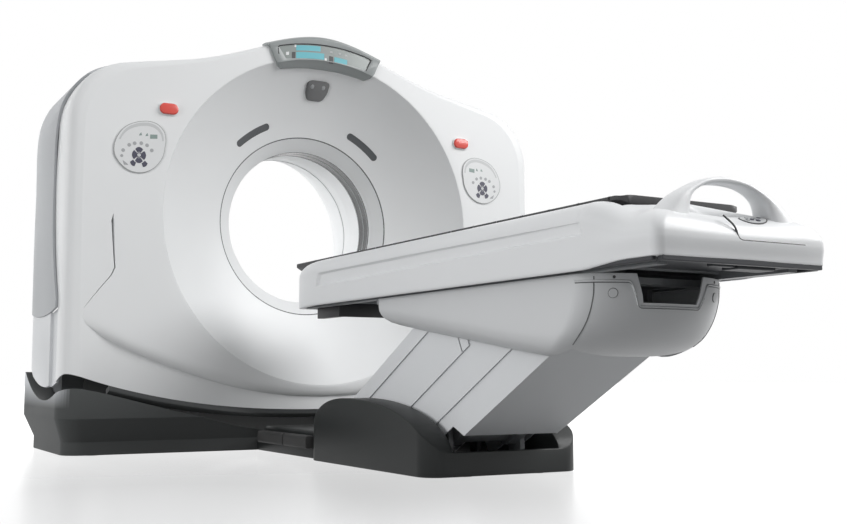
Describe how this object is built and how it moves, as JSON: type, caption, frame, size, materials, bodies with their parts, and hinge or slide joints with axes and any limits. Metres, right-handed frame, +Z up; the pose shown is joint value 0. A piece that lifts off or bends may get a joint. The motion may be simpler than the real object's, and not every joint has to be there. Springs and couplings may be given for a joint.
{
  "type": "medical ct scanner",
  "caption": "Ring-shaped tilting scanner gantry with a rotor inside its covers, and a patient table whose top rises on parallel legs and slides into the bore.",
  "frame": {"origin": "on the floor under the middle of the whole machine", "axes": "+Z up, +Y along the bore from the table's foot to the back of the gantry, +X to the right of a viewer at the table's foot"},
  "size_m": [2.234, 3.5, 1.8384],
  "materials": {
    "white_cover": "satin painted moulded cover",
    "grille_grey": "dark grey perforated insert",
    "scan_window": "dark translucent ring",
    "silver_cover": "metallic silver paint",
    "light_panel": "satin light grey",
    "red_button": "glossy moulded red",
    "collar_grey": "satin",
    "key_panel": "membrane keys",
    "bezel_grey": "smooth grey",
    "screen": "lit display",
    "camera_grey": "dark glossy",
    "frame_steel": "grey paint",
    "machined_steel": "turned",
    "dark_plastic": "moulded",
    "motor_paint": "dark paint",
    "cast_aluminium": "as cast",
    "copper_ring": "turned tracks",
    "base_black": "fine textured",
    "pedal_grey": "ribbed",
    "leg_grey": "satin light grey",
    "table_white": "satin painted moulded cover",
    "cradle_dark": "dark composite",
    "roller_rubber": "smooth"
  },
  "bodies": {
    "base": {"gantry_base_cover": "base_black", "gantry_base_frame": "frame_steel", "tilt_column_left": "frame_steel", "tilt_column_right": "frame_steel", "tilt_gearmotor": "motor_paint", "table_base_cover": "base_black", "table_base_frame": "frame_steel", "floor_link": "base_black", "lift_gearmotor": "motor_paint"},
    "tilting_gantry": {"front_cover": "white_cover", "front_funnel": "white_cover", "funnel_grilles": "grille_grey", "front_bore_ring": "white_cover", "scan_window": "scan_window", "rear_funnel": "white_cover", "rear_cover": "white_cover", "side_cover_right": "silver_cover", "side_cover_left": "silver_cover", "lower_panel_right": "light_panel", "lower_panel_left": "light_panel", "stop_collars": "collar_grey", "control_panel_right": "key_panel", "control_panel_left": "key_panel", "display_bezel": "bezel_grey", "display_screen": "screen", "camera_module": "camera_grey", "tilt_frame": "frame_steel", "bearing_outer": "machined_steel", "drive_stator": "machined_steel", "brush_block": "dark_plastic"},
    "rotor": {"rotor_plate": "cast_aluminium", "bearing_inner": "machined_steel", "slip_ring": "copper_ring", "xray_tube": "machined_steel", "collimator": "dark_plastic", "detector_arc": "cast_aluminium", "hv_generator": "cast_aluminium", "heat_exchanger": "cast_aluminium"},
    "stop_button_left_body": {"stop_button_left": "red_button"},
    "stop_button_right_body": {"stop_button_right": "red_button"},
    "front_link_body": {"front_link": "frame_steel", "leg_cover_1": "leg_grey"},
    "rear_link_body": {"rear_link": "frame_steel", "leg_cover_4": "leg_grey"},
    "leg_cover_2_body": {"leg_cover_2": "leg_grey"},
    "leg_cover_3_body": {"leg_cover_3": "leg_grey"},
    "carriage": {"carriage_frame": "frame_steel", "lower_housing": "table_white", "lower_end_cap": "table_white"},
    "bed": {"bed_frame": "frame_steel", "upper_housing": "table_white", "foot_cover": "table_white", "foot_keypad": "key_panel", "cradle_runners": "dark_plastic", "cradle_motor": "motor_paint", "head_bracket": "dark_plastic"},
    "cradle_body": {"cradle": "cradle_dark"},
    "roller_body": {"drive_roller": "roller_rubber"},
    "pedal_raise_body": {"pedal_raise": "pedal_grey"},
    "pedal_lower_body": {"pedal_lower": "pedal_grey"}
  },
  "joints": [
    {"name": "gantry_tilt", "type": "hinge", "parent": "base", "child": "tilting_gantry", "pos_m": [0, 1.057, 1.002], "axis": [-1, 0, 0], "range_deg": [-30, 30]},
    {"name": "rotor_spin", "type": "hinge", "parent": "tilting_gantry", "child": "rotor", "pos_m": [0, 1.15, 1.002], "axis": [0, 1, 0], "continuous": true},
    {"name": "stop_button_left_press", "type": "slide", "parent": "tilting_gantry", "child": "stop_button_left_body", "axis": [0, 1, 0], "range_m": [0, 0.005], "stiffness_N_per_m": 600},
    {"name": "stop_button_right_press", "type": "slide", "parent": "tilting_gantry", "child": "stop_button_right_body", "axis": [0, 1, 0], "range_m": [0, 0.005], "stiffness_N_per_m": 600},
    {"name": "table_lift", "type": "hinge", "parent": "base", "child": "front_link_body", "pos_m": [0, 0.06, 0.12], "axis": [-1, 0, 0], "range_deg": [-20.3, 21.3]},
    {"name": "rear_link_pivot", "type": "hinge", "parent": "base", "child": "rear_link_body", "pos_m": [0, -0.536, 0.12], "axis": [-1, 0, 0], "range_deg": [-20.3, 21.3]},
    {"name": "leg_cover_2_pivot", "type": "hinge", "parent": "base", "child": "leg_cover_2_body", "pos_m": [0, -0.0039, 0.12], "axis": [-1, 0, 0], "range_deg": [-20.3, 21.3]},
    {"name": "leg_cover_3_pivot", "type": "hinge", "parent": "base", "child": "leg_cover_3_body", "pos_m": [0, -0.27442, 0.12], "axis": [-1, 0, 0], "range_deg": [-20.3, 21.3]},
    {"name": "carriage_level", "type": "hinge", "parent": "front_link_body", "child": "carriage", "pos_m": [0, -0.5978, 0.46976], "axis": [-1, 0, 0], "range_deg": [-21.3, 20.3]},
    {"name": "bed_extend", "type": "slide", "parent": "carriage", "child": "bed", "axis": [0, 1, 0], "range_m": [0, 0.15]},
    {"name": "cradle_slide", "type": "slide", "parent": "bed", "child": "cradle_body", "axis": [0, 1, 0], "range_m": [0, 1.7]},
    {"name": "drive_roller_spin", "type": "hinge", "parent": "bed", "child": "roller_body", "pos_m": [0, 0.3, 0.6947], "axis": [-1, 0, 0], "range_deg": [-10, 3300]},
    {"name": "pedal_raise_press", "type": "hinge", "parent": "base", "child": "pedal_raise_body", "pos_m": [-0.2685, 0.6, 0.048], "axis": [0, -1, 0], "range_deg": [0, 7], "stiffness_Nm_per_rad": 40, "springref_deg": -1.15},
    {"name": "pedal_lower_press", "type": "hinge", "parent": "base", "child": "pedal_lower_body", "pos_m": [-0.2685, 0.34, 0.048], "axis": [0, -1, 0], "range_deg": [0, 7], "stiffness_Nm_per_rad": 40, "springref_deg": -1.15}
  ],
  "couplings": [
    {"joint": "rear_link_pivot", "follows": "table_lift", "ratio": 1},
    {"joint": "leg_cover_2_pivot", "follows": "table_lift", "ratio": 1},
    {"joint": "leg_cover_3_pivot", "follows": "table_lift", "ratio": 1},
    {"joint": "carriage_level", "follows": "table_lift", "ratio": -1},
    {"joint": "drive_roller_spin", "follows": "cradle_slide", "rad_per_m": 33.333}
  ]
}
